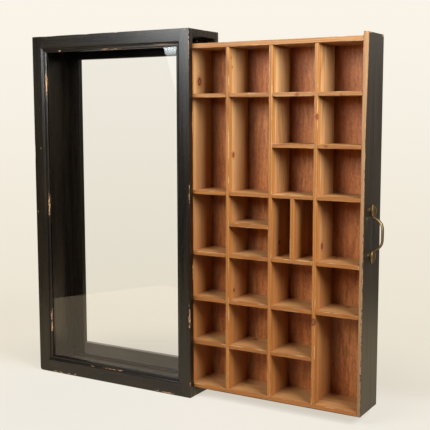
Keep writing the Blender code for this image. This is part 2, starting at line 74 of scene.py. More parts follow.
class Wire:
    """A socket that Python's operators work on: each one adds the node that it stands for."""

    def __init__(self, socket):
        self.socket = socket

    def node(self, kind, settings=None, inputs=None, output=0):
        """Adds a node to this wire's tree: its settings first, then what its sockets take."""
        tree = self.socket.id_data
        new = tree.nodes.new(kind)
        for name, value in (settings or {}).items():
            setattr(new, name, value)
        for key, value in (inputs or {}).items():
            if isinstance(value, Wire):
                tree.links.new(value.socket, new.inputs[key])
            else:
                new.inputs[key].default_value = value
        return Wire(new.outputs[output]) if new.outputs else None

    def work(self, operation, first, second):
        """Vector Math where either side is a vector, and Math where both are numbers."""
        sides = (first, second)
        if any(is_vector(side) for side in sides):
            spread = [(side, side, side) if isinstance(side, (int, float)) else side
                      for side in sides]
            return self.node("ShaderNodeVectorMath", {"operation": operation},
                             dict(enumerate(spread)))
        return self.node("ShaderNodeMath", {"operation": operation}, dict(enumerate(sides)))

    def __add__(self, other):
        return self.work("ADD", self, other)

    def __radd__(self, other):
        return self.work("ADD", other, self)

    def __sub__(self, other):
        return self.work("SUBTRACT", self, other)

    def __rsub__(self, other):
        return self.work("SUBTRACT", other, self)

    def __mul__(self, other):
        return self.work("MULTIPLY", self, other)

    def __rmul__(self, other):
        return self.work("MULTIPLY", other, self)

    def __truediv__(self, other):
        return self.work("DIVIDE", self, other)

    def __pow__(self, other):
        return self.work("POWER", self, other)

    def least(self, other):
        return self.work("MINIMUM", self, other)

    def most(self, other):
        return self.work("MAXIMUM", self, other)

    def sine(self):
        return self.node("ShaderNodeMath", {"operation": "SINE"}, {0: self})

    def length(self):
        return self.node("ShaderNodeVectorMath", {"operation": "LENGTH"}, {0: self}, "Value")

    def part(self, axis):
        """The X, Y or Z of a vector, by its number."""
        return self.node("ShaderNodeSeparateXYZ", None, {0: self}, axis)

    def soft(self, low, high):
        """Rises smoothly from 0 at low to 1 at high."""
        return self.node("ShaderNodeMapRange", {"interpolation_type": "SMOOTHSTEP"},
                         {"Value": self, "From Min": low, "From Max": high})

    def noise(self, detail=2.0, roughness=0.5):
        return self.node("ShaderNodeTexNoise", None,
                         {"Vector": self, "Scale": 1.0, "Detail": detail, "Roughness": roughness})

    def mix(self, first, second):
        """The first colour where this is 0, and the second where it is 1."""
        return self.node("ShaderNodeMix", {"data_type": "RGBA"}, {0: self, 6: first, 7: second}, 2)

    def bump(self, height):
        """The normal of a surface that this number lifts by up to a height in metres."""
        return self.node("ShaderNodeBump", None, {"Height": self, "Distance": height})


def is_vector(side):
    return isinstance(side, (tuple, Vector)) or isinstance(side, Wire) and side.socket.type == "VECTOR"


def new_tree(block):
    """An empty node tree for a material or the world."""
    block.use_nodes = True
    block.node_tree.nodes.clear()
    return block.node_tree


def new_material(name):
    """A material and the wire of its Object coordinates."""
    material = bpy.data.materials.new(name)
    tree = new_tree(material)
    return material, Wire(tree.nodes.new("ShaderNodeTexCoord").outputs["Object"])


def show(wire, shader):
    wire.node("ShaderNodeOutputMaterial", None, {"Surface": shader})


def along_grain(axis, along, across):
    """A scale for coordinates that is one value along an axis and another across it."""
    scale = Vector((across, across, across))
    scale[axis] = along
    return scale


# Places that materials share: worn spots, arrises and the skin of a face

SPOT_FILL = 0.55
SPOT_THINNING = 0.7
FLAKE_EDGE = (0.10, 0.22)
SPOT_RIM = (0.95, 1.2)


def spot_mask(place, spot, ragged):
    """Flakes of a broken spot, fewer towards its rim. A spot is its centre and its reach each way."""
    centre, reach = spot
    distance = ((place - centre) / reach).length()
    flakes = (SPOT_FILL + ragged - distance * SPOT_THINNING).soft(*FLAKE_EDGE)
    return flakes * (1 - distance.soft(*SPOT_RIM))


def arris_distance(place, low, high):
    """How far a point of a box's surface is from the nearest arris of the box."""
    gaps = []
    for axis in range(3):
        value = place.part(axis)
        gaps.append((value - low[axis]).least(high[axis] - value))
    first, second, third = gaps
    return first.least(second).most(first.most(second).least(third))


def skin(place, axis, face, start, full):
    """0 deeper below a face than start, and 1 from the depth called full up to the face."""
    return place.part(axis).soft(face - start, face - full)


# Pine

PINE_EARLY = shown(176, 124, 68)
PINE_LATE = shown(130, 76, 32)
PINE_BARE = shown(192, 153, 106)
PINE_BARE_LATE = shown(164, 118, 72)
# Painted shade, browner lower down:
PINE_LOW_SHADE = shown(178, 108, 48)
# Painted light on upper faces:
PINE_TOP_LIGHT = shown(208, 156, 100)
PINE_SCUFFED = shown(226, 188, 140)
# Painted shade under the tray's bottom board:
PINE_UNDER_SHADE = shown(66, 42, 24)
PINE_SHINE = 0.3
PINE_RELIEF = 0.12 * MM
KNOT_HALO = shown(160, 94, 44)
KNOT_HEART = shown(142, 84, 46)
KNOT_BARK = shown(92, 46, 24)
KNOT_STRETCH = 1.2
KNOT_SWERVE = 5 * MM
HALO_SHARE = 0.6
RING_PITCH = 3.2 * MM
RING_SWAY = 14 * MM
PITH_DISTANCE = 38 * MM
BOARD_TURN = 2.4
BOARD_SHIFT = Vector((0.137, 0.091, 0.053))
TRAY_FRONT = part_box("tray_end_left")[0].y
VARNISH_DEPTH = 10 * MM
VARNISH_EDGE = (VARNISH_DEPTH - 1 * MM, VARNISH_DEPTH + 2 * MM)
VARNISH_RAGGED = 3 * MM
# Painted shade browns the pine between these heights, most at the bottom.
LOW_SHADE_HEIGHTS = (100 * MM, 600 * MM)
LOW_SHADE_SHARE = 0.65
# Painted light on the upper faces of boards along X, from a little behind the front edge.
TOP_LIGHT_SKIN = (0.6 * MM, 0.2 * MM)
TOP_LIGHT_START = (0.5 * MM, 3 * MM)
TOP_LIGHT_SHARE = 0.85
SCUFF_PATCHES = (0.52, 0.68)
SCUFF_WIDTH = (0.5 * MM, 1.3 * MM)
SCUFF_SHARE = 0.55
# Depth of the painted shade along a board's lower face.
UNDER_SHADE_FULL = 0.8 * MM
UNDER_SHADE_END = 2.4 * MM


def pine_fibre(place, axis):
    """Fine streaks along the grain of pine."""
    return (place * along_grain(axis, 9, 420)).noise(4.0, 0.6)


def behind_front(place):
    """How far behind the tray's front edges a point is."""
    return place.part(1) - TRAY_FRONT


def ring_radius(place, moved, axis, low, high, number):
    """How far a point is from the heart of its log, which lies to another side of each board."""
    first, second = [other for other in range(3) if other != axis]
    pith = (low + high) / 2
    pith[first] += PITH_DISTANCE * math.cos(BOARD_TURN * number)
    pith[second] += PITH_DISTANCE * math.sin(BOARD_TURN * number)
    sway = (moved * along_grain(axis, 5, 24)).noise(1.0)
    return ((place - pith) * along_grain(axis, 0, 1)).length() + sway * RING_SWAY


def knot_marks(place, axis, fibre, knots):
    """The halo, the core and the bark of a board's knots, each from 0 to 1."""
    halos = []
    cores = []
    barks = []
    for centre, size in knots:
        reach = along_grain(axis, size * KNOT_STRETCH, size)
        distance = ((place - centre) / reach).length() + (fibre - 0.5) * 0.5
        core = 1 - distance.soft(0.95, 1.15)
        halos.append(1 - distance.soft(0.9, 2.4))
        cores.append(core)
        barks.append(core * distance.soft(0.35, 0.85))
    return [reduce(Wire.most, marks) for marks in (halos, cores, barks)]


def pine(name, axis, low, high, number, knots=(), deep=0.0, under_shade=0.0):
    """Pine sawn along an axis, with growth rings, fibre and knots.

    It is varnished near the tray's front and scuffed at its arrises; painted shade browns it lower
    down.
    A board along X has painted light on its upper face, and where asked a painted shade along its
    lower face.
    """
    material, place = new_material(name)
    moved = place + BOARD_SHIFT * number
    fibre = pine_fibre(moved, axis)
    radius = ring_radius(place, moved, axis, low, high, number)
    if knots:
        halo, core, bark = knot_marks(place, axis, fibre, knots)
        radius = radius + halo * KNOT_SWERVE
    ring = (radius * (2 * math.pi / RING_PITCH)).sine() * 0.5 + 0.5
    late = ((ring ** 3) * 0.75 + (fibre - 0.46) * 1.7).most(0.0).least(1.0)

    front = behind_front(place)
    varnished = 1 - (front + (fibre - 0.5) * VARNISH_RAGGED).soft(*VARNISH_EDGE)
    bare = late.mix(PINE_BARE, PINE_BARE_LATE)
    oiled = late.mix(PINE_EARLY, PINE_LATE)
    # Painted shade: the pine is browner and darker lower down.
    aged = 1 - place.part(2).soft(*LOW_SHADE_HEIGHTS)
    colour = (aged * LOW_SHADE_SHARE).mix(varnished.mix(bare, oiled), PINE_LOW_SHADE)
    if axis == 0:
        # Painted light: the upper face is lighter, standing for light from above.
        rubbed = skin(place, 2, high.z, *TOP_LIGHT_SKIN) * front.soft(*TOP_LIGHT_START)
        colour = (rubbed * (TOP_LIGHT_SHARE - late * 0.3)).mix(colour, PINE_TOP_LIGHT)
    tone = (moved * along_grain(axis, 7, 60)).noise(2.0)
    colour = (tone.soft(0.35, 0.75) * 0.3 + varnished * deep).mix(colour, PINE_LATE)
    scuff = (moved * along_grain(axis, 45, 150)).noise(2.0).soft(*SCUFF_PATCHES)
    scuff = scuff * (1 - arris_distance(place, low, high).soft(*SCUFF_WIDTH))
    colour = (scuff * SCUFF_SHARE).mix(colour, PINE_SCUFFED)
    # Painted shade: a dark band along the lower face, where the tray's shadow falls.
    if under_shade:
        under = 1 - place.part(2).soft(low.z + UNDER_SHADE_FULL, low.z + UNDER_SHADE_END)
        colour = (under * under_shade).mix(colour, PINE_UNDER_SHADE)
    rough = 0.54 + fibre * 0.16 - varnished * 0.2
    if knots:
        colour = (halo * HALO_SHARE).mix(colour, KNOT_HALO)
        colour = core.mix(colour, bark.mix(KNOT_HEART, KNOT_BARK))
        rough = rough + core * 0.2
    show(place, place.node("ShaderNodeBsdfPrincipled", None, {
        "Base Color": colour, "Roughness": rough, "Specular IOR Level": PINE_SHINE,
        "Normal": (fibre + ring * 0.3).bump(PINE_RELIEF)}))
    return material


# Red plywood

PLY_DARK = shown(158, 84, 34)
PLY_LIGHT = shown(232, 155, 86)
PLY_RED = shown(190, 102, 44)
# Painted shade beside the uprights:
PLY_CORNER_SHADE = shown(84, 36, 8)
PLY_SHINE = 0.55
PLY_RELIEF = 0.08 * MM
PORE_SLANT = math.radians(24)
CHIP_SHARE = 0.8
# Reach and strength of the painted shade beside the uprights.
CORNER_SHADE_REACH = 30 * MM
CORNER_SHADE_FULL = 0.5 * MM
CORNER_SHADE_END = 1.5 * MM
CORNER_SHADE_SHARE = 0.65


def red_ply(name, low, chips, uprights):
    """Reddish plywood with upright grain, pores and pale chips.

    Its inner face has painted shade beside the uprights, each of which is given by its two places
    along X.
    """
    material, place = new_material(name)
    streak = (place * along_grain(2, 26, 190)).noise(3.0, 0.65)
    slanted = place.node("ShaderNodeMapping", None, {"Vector": place, "Rotation": (0, PORE_SLANT, 0)})
    fleck = (slanted * along_grain(2, 170, 700)).noise(2.0)
    cloud = (place * along_grain(2, 12, 22)).noise(2.0)
    colour = streak.soft(0.25, 0.75).mix(PLY_DARK, PLY_LIGHT)
    colour = (cloud.soft(0.35, 0.65) * 0.5).mix(colour, PLY_RED)
    colour = (fleck.soft(0.46, 0.66) * 0.5).mix(colour, PLY_LIGHT)
    colour = ((1 - fleck).soft(0.55, 0.75) * 0.4).mix(colour, PLY_DARK)
    for chip in chips:
        colour = (spot_mask(place, chip, (fleck - 0.5) * 2.0) * CHIP_SHARE).mix(colour, WORN_PINE)
    # Painted shade: the inner face darkens within a reach of each upright.
    along = place.part(0)
    clear = reduce(Wire.least, [(left - along).most(along - right) for left, right in uprights])
    inner = 1 - place.part(1).soft(low.y + CORNER_SHADE_FULL, low.y + CORNER_SHADE_END)
    corner_shade = (1 - clear.soft(0.0, CORNER_SHADE_REACH)) * inner
    colour = (corner_shade * CORNER_SHADE_SHARE).mix(colour, PLY_CORNER_SHADE)
    show(place, place.node("ShaderNodeBsdfPrincipled", None, {
        "Base Color": colour, "Roughness": 0.44 + fleck * 0.2, "Specular IOR Level": PLY_SHINE,
        "Normal": (streak + fleck * 0.6).bump(PLY_RELIEF)}))
    return material


# Black paint

BLACK = shown(22, 17, 12)
BLACK_WARM = shown(35, 28, 18)
WORN_PINE = shown(186, 146, 104)
WORN_DARK = shown(138, 98, 68)
WORN_ROUGHNESS = 0.75
DUST = shown(126, 120, 110)
DUST_FILM = shown(184, 166, 146)
FILM_SKIN = (0.7 * MM, 0.4 * MM)
PAINT_ROUGHNESS = 0.20
DUSTY_ROUGHNESS = 0.34
PAINT_SHINE = 0.5
CASE_TOP_SHINE = 0.3
PAINT_RELIEF = 0.025 * MM
INNER_SOUNDNESS = 0.15
WORN_THRESHOLD = (0.65, 0.69)
ARRIS_WIDTH = (0.6 * MM, 1.3 * MM)
FADE_PER_METRE = 120
FLAKE_CONTRAST = 3.4


def brush_marks(place, axis):
    """The lines that a brush's bristles leave along a board."""
    return (place * along_grain(axis, 14, 1100)).noise(3.0, 0.6)


def broad_tone(place, axis):
    """Wide, slow changes of tone along a board."""
    return (place * along_grain(axis, 6, 90)).noise(2.0)


def ragged_grain(place, axis):
    """The rough outline that paint has where it flakes off along the grain."""
    return (place * along_grain(axis, 190, 620)).noise(3.0, 0.65)


def worn_paint(place, axis, low, high, spots, sound):
    """Where paint has worn off: at named spots, and along the arrises, less where it is sound."""
    ragged = ragged_grain(place, axis)
    patchy = (place * along_grain(axis, 14, 40)).noise(2.0)
    arris = arris_distance(place, low, high)
    worn = (patchy + (ragged - 0.5) * 0.4 - arris * FADE_PER_METRE - sound).soft(*WORN_THRESHOLD)
    worn = worn * (1 - arris.soft(*ARRIS_WIDTH))
    flakes = (ragged - 0.5) * FLAKE_CONTRAST
    return reduce(Wire.most, [worn] + [spot_mask(place, spot, flakes) for spot in spots])


def black_paint(name, axis, low, high, spots=(), smooth=PAINT_ROUGHNESS, dust=0.0, film=0.0,
                shine=PAINT_SHINE, sound=0.0):
    """Brushed black paint, worn through to the pine, with specks and a film of dust if asked for."""
    material, place = new_material(name)
    brush = brush_marks(place, axis)
    broad = broad_tone(place, axis)
    worn = worn_paint(place, axis, low, high, spots, sound)
    colour = broad.soft(0.35, 0.7).mix(BLACK, BLACK_WARM)
    if dust:
        speck = (place * 900).noise(0.0).soft(0.79, 0.82) * dust
        colour = speck.mix(colour, DUST)
    if film:
        upper = skin(place, 2, high.z, *FILM_SKIN)
        colour = ((upper * 0.6 + 0.4) * film * (0.6 + broad)).mix(colour, DUST_FILM)
    wood = (place * along_grain(axis, 30, 600)).noise(2.0)
    colour = worn.mix(colour, wood.soft(0.3, 0.6).mix(WORN_DARK, WORN_PINE))
    rough = smooth + brush * 0.10 + broad * 0.06
    rough = rough + worn * (WORN_ROUGHNESS - smooth)
    show(place, place.node("ShaderNodeBsdfPrincipled", None, {
        "Base Color": colour, "Roughness": rough, "Specular IOR Level": shine,
        "Normal": (brush - worn * 2).bump(PAINT_RELIEF)}))
    return material


# The end board's paint and wood

END_BLACK = shown(14, 11, 7)
END_BLACK_WARM = shown(44, 36, 25)
END_WOOD = shown(168, 127, 86)
END_WOOD_LATE = shown(132, 92, 58)
END_SHINE = 0.42
END_RELIEF = 0.05 * MM
END_LAP = 2.2 * MM
END_LAP_LEAST = 0.6 * MM
END_LAP_RAGGED = 0.6 * MM
END_LAP_EDGE = 0.2 * MM
END_LAP_TURN = 180 * MM
END_BACK_SKIN = (0.5 * MM, 0.3 * MM)
END_WEAR_LOW = 430 * MM
END_WEAR_HIGH = 630 * MM
END_WEAR_WIDTH = 8 * MM
END_WEAR_RAGGED = 5 * MM
END_WEAR_EDGE = (0.2 * MM, 0.7 * MM)


def painted_end(name, low, high, spots):
    """The tray's right end board: pine, with streaky black paint on its outer and rear faces.

    The paint laps onto the front edge, and less so higher up. There a strip of the outer face is
    rubbed bare beside that edge, wider towards the top.
    """
    material, place = new_material(name)
    fibre = pine_fibre(place, 2)
    brush = brush_marks(place, 2)
    broad = broad_tone(place, 2)
    ragged = ragged_grain(place, 2)
    flakes = (ragged - 0.5) * FLAKE_CONTRAST
    worn = reduce(Wire.most, [spot_mask(place, spot, flakes) for spot in spots])
    height = place.part(2)
    lap = END_LAP - height.soft(END_LAP_TURN, END_WEAR_LOW) * (END_LAP - END_LAP_LEAST)
    outer = (place.part(0) - high.x + lap + (ragged - 0.5) * END_LAP_RAGGED).soft(0.0, END_LAP_EDGE)
    back = skin(place, 1, high.y, *END_BACK_SKIN)
    strip = height.soft(END_WEAR_LOW, END_WEAR_HIGH) * END_WEAR_WIDTH
    kept = (place.part(1) - low.y - strip + (ragged - 0.5) * END_WEAR_RAGGED).soft(*END_WEAR_EDGE)
    painted = outer.most(back) * (1 - worn) * kept
    lines = (place * along_grain(2, 5, 300)).noise(2.0).soft(0.35, 0.65)
    streaks = lines * 0.5 + brush.soft(0.35, 0.68) * 0.25 + broad.soft(0.35, 0.7) * 0.25
    wood = ((fibre - 0.35) * 2.2).most(0.0).least(1.0).mix(END_WOOD, END_WOOD_LATE)
    colour = painted.mix(wood, streaks.mix(END_BLACK, END_BLACK_WARM))
    show(place, place.node("ShaderNodeBsdfPrincipled", None, {
        "Base Color": colour, "Roughness": 0.58 - painted * 0.26 + lines * 0.08,
        "Specular IOR Level": END_SHINE,
        "Normal": (brush + lines + painted * 0.6).bump(END_RELIEF)}))
    return material


# Glass and metals

PANE_TINT = (0.998, 1.0, 0.996, 1.0)
PANE_LEAST_SHINE = 0.046
STEEL_CLEAN = shown(186, 186, 182)
STEEL_DULL = shown(120, 118, 112)
STEEL_RELIEF = 0.02 * MM
BRASS_BRIGHT = shown(196, 166, 114)
BRASS_OLD = shown(90, 68, 42)
BRASS_RELIEF = 0.12 * MM


def pane_glass(name):
    """Clear window glass: see-through face on, and more of a mirror at a slant."""
    material, place = new_material(name)
    facing = place.node("ShaderNodeLayerWeight", None, {"Blend": 0.5}, "Facing")
    shine = PANE_LEAST_SHINE + (facing ** 5) * (1 - PANE_LEAST_SHINE)
    clear = place.node("ShaderNodeBsdfTransparent", None, {"Color": PANE_TINT})
    mirror = place.node("ShaderNodeBsdfGlossy", None, {"Roughness": 0.0})
    show(place, place.node("ShaderNodeMixShader", None, {0: shine, 1: clear, 2: mirror}))
    return material


def steel(name):
    """Zinc-plated steel, dulled in clouds."""
    material, place = new_material(name)
    cloud = (place * 260).noise(3.0, 0.6)
    scratch = (place * along_grain(0, 250, 2500)).noise(2.0)
    show(place, place.node("ShaderNodeBsdfPrincipled", None, {
        "Base Color": cloud.soft(0.35, 0.65).mix(STEEL_DULL, STEEL_CLEAN),
        "Metallic": 1.0, "Roughness": 0.30 + cloud * 0.25,
        "Normal": scratch.bump(STEEL_RELIEF)}))
    return material


def aged_brass(name):
    """Cast brass, brown where it is dished and bright where hands rub its rims."""
    material, place = new_material(name)
    rubbed = place.node("ShaderNodeAttribute", {"attribute_name": "rubbed"}, None, "Fac")
    grain = (place * 420).noise(3.0, 0.6)
    pits = (place * 1600).noise(1.0)
    bright = (rubbed + (grain - 0.5) * 0.9).soft(0.25, 0.85)
    show(place, place.node("ShaderNodeBsdfPrincipled", None, {
        "Base Color": bright.mix(BRASS_OLD, BRASS_BRIGHT),
        "Metallic": 0.9, "Roughness": 0.54 - bright * 0.24 + pits * 0.08,
        "Normal": (grain + pits * 0.5).bump(BRASS_RELIEF)}))
    return material


# Making pieces

SHARP_ANGLE = math.radians(20)
ARRIS_TURN = 1.0  # Radians: an edge whose faces turn by more than this is an arris.
LOOP_PITCH = 6 * MM
EASE = 0.5 * MM
WAVE = 0.12 * MM
WAVES_PER_METRE = 35
BOARD_DENT = 0.4 * MM
DENT_REACH_SHARE = 1.2


def add_piece(name, shape, material, slot, body, *nodes, sharp_angle=SHARP_ANGLE):
    """Makes a piece of a finished shape, which rides on a body and stands for its nodes."""
    mesh = bpy.data.meshes.new(name)
    shape.to_mesh(mesh)
    shape.free()
    mesh.materials.append(material)
    mesh.shade_smooth()
    mesh.set_sharp_from_angle(angle=sharp_angle)
    piece = bpy.data.objects.new(name, mesh)
    bpy.context.scene.collection.objects.link(piece)
    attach(piece, body)
    if nodes:
        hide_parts(*nodes)


def refinish(node, material):
    """Gives a CAD node that stays in view its material."""
    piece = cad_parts[node]
    piece.data.materials.clear()
    piece.data.materials.append(material)


def bevel_edges(shape, edges, width, segments=2):
    bmesh.ops.bevel(shape, geom=edges, offset=width, segments=segments, profile=0.5,
                    affect="EDGES", material=-1)


def box_shape(low, high):
    shape = bmesh.new()
    bmesh.ops.create_cube(shape, size=1.0)
    bmesh.ops.scale(shape, vec=high - low, verts=shape.verts)
    bmesh.ops.translate(shape, vec=(low + high) / 2, verts=shape.verts)
    return shape


def wave_faces(shape, low, high, axis):
    """Planed faces are never quite flat: draws each vertex in a little across the length."""
    middle = (low + high) / 2
    for vert in shape.verts:
        for other in range(3):
            if other != axis:
                swell = noise.noise(vert.co * WAVES_PER_METRE + Vector((other, 0, 0)))
                side = math.copysign(1.0, vert.co[other] - middle[other])
                vert.co[other] -= side * WAVE * (0.5 + 0.5 * swell)


def dent(shape, low, high, axis, spots, depth):
    """Draws the arrises in where they are worn, towards the middle of the length's section."""
    middle = (low + high) / 2
    for centre, reach in spots:
        for vert in shape.verts:
            offset = vert.co - centre
            share = sum((offset[k] / (reach[k] * DENT_REACH_SHARE)) ** 2 for k in range(3))
            if share < 1:
                inward = middle - vert.co
                inward[axis] = 0
                vert.co += inward.normalized() * depth * (1 - share)


def board_shape(low, high, axis, spots=(), ease=EASE):
    """A board with loops along its length, eased arrises, wavy faces and worn spots."""
    shape = box_shape(low, high)
    lengthwise = [edge for edge in shape.edges
                  if abs((edge.verts[0].co - edge.verts[1].co)[axis]) > EASE]
    cuts = max(1, round((high - low)[axis] / LOOP_PITCH))
    bmesh.ops.subdivide_edges(shape, edges=lengthwise, cuts=cuts, use_grid_fill=True)
    arrises = [edge for edge in shape.edges if edge.calc_face_angle(0.0) > ARRIS_TURN]
    bevel_edges(shape, arrises, ease)
    wave_faces(shape, low, high, axis)
    dent(shape, low, high, axis, spots, BOARD_DENT)
    return shape


# The case

FRONT_THICKNESS = 12 * MM
OVOLO_WIDTH = 4.4 * MM
OVOLO_DEPTH = 2.6 * MM
FILLET_WIDTH = 0.3 * MM
STEP_DEPTH = 1.3 * MM
BEAD_FLAT = 2.3 * MM
BEAD_RADIUS = 2.2 * MM
REBATE_WIDTH = 5.0 * MM
LIP_BACK = 1.2 * MM
STICKING_WIDTH = OVOLO_WIDTH + FILLET_WIDTH + BEAD_FLAT + BEAD_RADIUS
LIP_DEPTH = OVOLO_DEPTH + STEP_DEPTH + BEAD_RADIUS + LIP_BACK
CURVE_STEPS = 10
TOUCHING = 0.01 * MM

MEMBER_SPOTS = {
    "front_stile_left": (
        (mm(-145.5, -44.5, 552), mm(1.7, 3.0, 25)), (mm(-145.0, -44.5, 326), mm(1.8, 3.0, 24)),
        (mm(-145.0, -44.5, 112), mm(2.1, 3.0, 16)), (mm(-145.0, -44.5, 90), mm(2.3, 3.0, 14)),
        (mm(-173, -49.5, 425), mm(1.2, 1.2, 15)), (mm(-169, -49.5, 312), mm(1.2, 1.0, 2.0)),
        (mm(-158, -49.5, 433), mm(0.9, 1.0, 1.4)), (mm(-156, -49.5, 288), mm(0.9, 1.0, 1.4)),
    ),
    "front_stile_right": (
        (mm(173, -49.5, 605), mm(1.0, 1.2, 36)), (mm(173, -49.5, 360), mm(1.5, 1.8, 22)),
        (mm(172.6, -49.5, 145), mm(2.8, 2.0, 24)), (mm(173, -49.5, 24), mm(1.6, 1.6, 5)),
        (mm(165, -49.5, 637), mm(3.0, 1.2, 1.4)), (mm(168, -49.5, 631), mm(1.0, 1.0, 2.0)),
        (mm(173, -37.5, 481), mm(1.6, 2.4, 26)), (mm(173, -37.5, 223), mm(1.6, 2.4, 22)),
    ),
    "front_rail_top": (
        (mm(-131, -49.5, 640), mm(20, 1.6, 1.1)), (mm(-48, -49.5, 640), mm(12, 1.6, 1.0)),
        (mm(22, -49.5, 640), mm(3, 1.6, 1.0)), (mm(-8, -44.5, 611.6), mm(11, 3.0, 1.6)),
        (mm(17, -44.5, 611.4), mm(12, 3.0, 1.3)), (mm(-110, -45, 612.5), mm(3.2, 3.0, 2.2)),
        (mm(118, -47, 615.5), mm(30, 2.5, 1.3)),
    ),
    "front_rail_bottom": (
        (mm(-46, -47.5, 25.5), mm(9, 2.0, 0.6)), (mm(-2, -47.5, 25.5), mm(19, 2.4, 0.9)),
        (mm(18, -47.5, 26.5), mm(9, 2.4, 1.6)), (mm(-134, -49.5, 2.2), mm(5, 2.0, 1.6)),
        (mm(-122, -49.5, 2.2), mm(5, 2.0, 1.6)), (mm(-103, -49.5, 2.4), mm(4, 2.0, 1.6)),
        (mm(-87, -49.5, 2.2), mm(4, 2.0, 1.5)), (mm(103, -49.5, 2.6), mm(4, 2.0, 1.5)),
        (mm(125, -49.5, 2.4), mm(13, 2.0, 1.6)),
    ),
}
CORNER_ROUNDING = 5.5 * MM
CORNER_SEGMENTS = 5
MEMBER_DENT = 0.35 * MM
FRAME_DUST = 0.4
BOARD_DUST = 0.7
PANE_EASE = 0.25 * MM
TOP_SPOTS = ((mm(173, 0, 640), mm(1.4, 6, 1.2)),)
DUST_FILMS = {"case_bottom": 0.16, "back_rail_bottom": 0.5}


def sticking_outline():
    """The moulded edge, from the flat face round to the back, as (across, depth) from the flat."""
    points = []
    for step in range(CURVE_STEPS + 1):
        turn = step / CURVE_STEPS * math.pi / 2
        points.append((OVOLO_WIDTH * math.sin(turn), OVOLO_DEPTH * (1 - math.cos(turn))))
    bead_start = OVOLO_WIDTH + FILLET_WIDTH
    bead_top = OVOLO_DEPTH + STEP_DEPTH
    points.append((bead_start, bead_top))
    for step in range(CURVE_STEPS + 1):
        turn = step / CURVE_STEPS * math.pi / 2
        points.append((bead_start + BEAD_FLAT + BEAD_RADIUS * math.sin(turn),
                       bead_top + BEAD_RADIUS * (1 - math.cos(turn))))
    points.append((STICKING_WIDTH, LIP_DEPTH))
    points.append((STICKING_WIDTH - REBATE_WIDTH, LIP_DEPTH))
    points.append((STICKING_WIDTH - REBATE_WIDTH, FRONT_THICKNESS))
    points.append((0.0, FRONT_THICKNESS))
    return points


def slice_at(shape, places):
    """Cuts loops into a shape at places along its X."""
    for place in places:
        bmesh.ops.bisect_plane(shape, geom=shape.verts[:] + shape.edges[:] + shape.faces[:],
                               plane_co=(place, 0, 0), plane_no=(1, 0, 0))


def drop_side(shape, across, reach):
    """Deletes the faces that lie at one place across, up to a reach along."""
    inside = [face for face in shape.faces
              if all(abs(vert.co.y - across) < TOUCHING and abs(vert.co.x) < reach + TOUCHING
                     for vert in face.verts)]
    bmesh.ops.delete(shape, geom=inside, context="FACES")


def moulding_shape(flat, reach):
    """The moulded part of a member, mitred at both ends from where it leaves the flat."""
    shape = bmesh.new()
    outline = [shape.verts.new((-reach, flat + across, depth))
               for across, depth in sticking_outline()]
    face = shape.faces.new(outline)
    grown = bmesh.ops.extrude_face_region(shape, geom=[face])["geom"]
    bmesh.ops.translate(shape, vec=(2 * reach, 0, 0),
                        verts=[part for part in grown if isinstance(part, bmesh.types.BMVert)])
    for sign in (-1, 1):
        bmesh.ops.bisect_plane(shape, geom=shape.verts[:] + shape.edges[:] + shape.faces[:],
                               plane_co=(sign * reach, flat, 0), plane_no=(sign, 1, 0),
                               clear_outer=True)
        open_edges = [edge for edge in shape.edges if edge.is_boundary]
        bmesh.ops.edgeloop_fill(shape, edges=open_edges)
    return shape


def member_shape(flat, half_length, reach, place, rounding=0.0):
    """A front frame member along X: a flat block that runs on past its mitred moulding."""
    shape = box_shape(Vector((-half_length, 0, 0)), Vector((half_length, flat, FRONT_THICKNESS)))
    shouldered = half_length - reach > EASE
    if rounding:
        corner = [edge for edge in shape.edges
                  if all(vert.co.x < 0 and vert.co.y < TOUCHING for vert in edge.verts)]
        bevel_edges(shape, corner, rounding, CORNER_SEGMENTS)
    arrises = []
    for edge in shape.edges:
        if edge.calc_face_angle(0.0) < ARRIS_TURN:
            continue
        at_flat = [abs(vert.co.y - flat) < TOUCHING for vert in edge.verts]
        if not any(at_flat) or shouldered and not all(at_flat):
            arrises.append(edge)
    bevel_edges(shape, arrises, EASE)
    moulding = moulding_shape(flat, reach)
    loops = round(2 * reach / LOOP_PITCH)
    places = [reach * (2 * loop / loops - 1) for loop in range(1, loops)]
    slice_at(shape, places + ([-reach, reach] if shouldered else []))
    slice_at(moulding, places)
    drop_side(shape, flat, reach)
    drop_side(moulding, flat, reach)
    part = bpy.data.meshes.new("moulding")
    moulding.to_mesh(part)
    moulding.free()
    shape.from_mesh(part)
    bpy.data.meshes.remove(part)
    bmesh.ops.remove_doubles(shape, verts=shape.verts, dist=TOUCHING / 2)
    bmesh.ops.transform(shape, matrix=place, verts=shape.verts)
    bmesh.ops.recalc_face_normals(shape, faces=shape.faces)
    return shape


def make_front_frame():
    """Two rails between two stiles, whose mouldings meet at mitres."""
    stile_low, stile_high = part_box("front_stile_left")
    front = stile_low.y
    height = stile_high.z - stile_low.z
    flats = {}
    for node, across, z in (("front_rail_top", -1, height), ("front_rail_bottom", 1, 0)):
        low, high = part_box(node)
        flats[node] = high.z - low.z - STICKING_WIDTH
        half = (high.x - low.x) / 2
        turn = Matrix(((1, 0, 0), (0, 0, across), (0, 1, 0))).transposed().to_4x4()
        place = Matrix.Translation((0, front, z)) @ turn
        finish_member(node, 0, member_shape(flats[node], half, half, place))
    centre = height / 2
    stile_flat = stile_high.x - stile_low.x - STICKING_WIDTH
    for node, across in (("front_stile_left", 1), ("front_stile_right", -1)):
        turn = Matrix(((0, 0, 1), (across, 0, 0), (0, 1, 0))).transposed().to_4x4()
        place = Matrix.Translation((stile_low.x * across, front, centre)) @ turn
        rounding = CORNER_ROUNDING if node == "front_stile_left" else 0.0
        finish_member(node, 2, stile_shape(stile_flat, centre, flats, place, rounding))


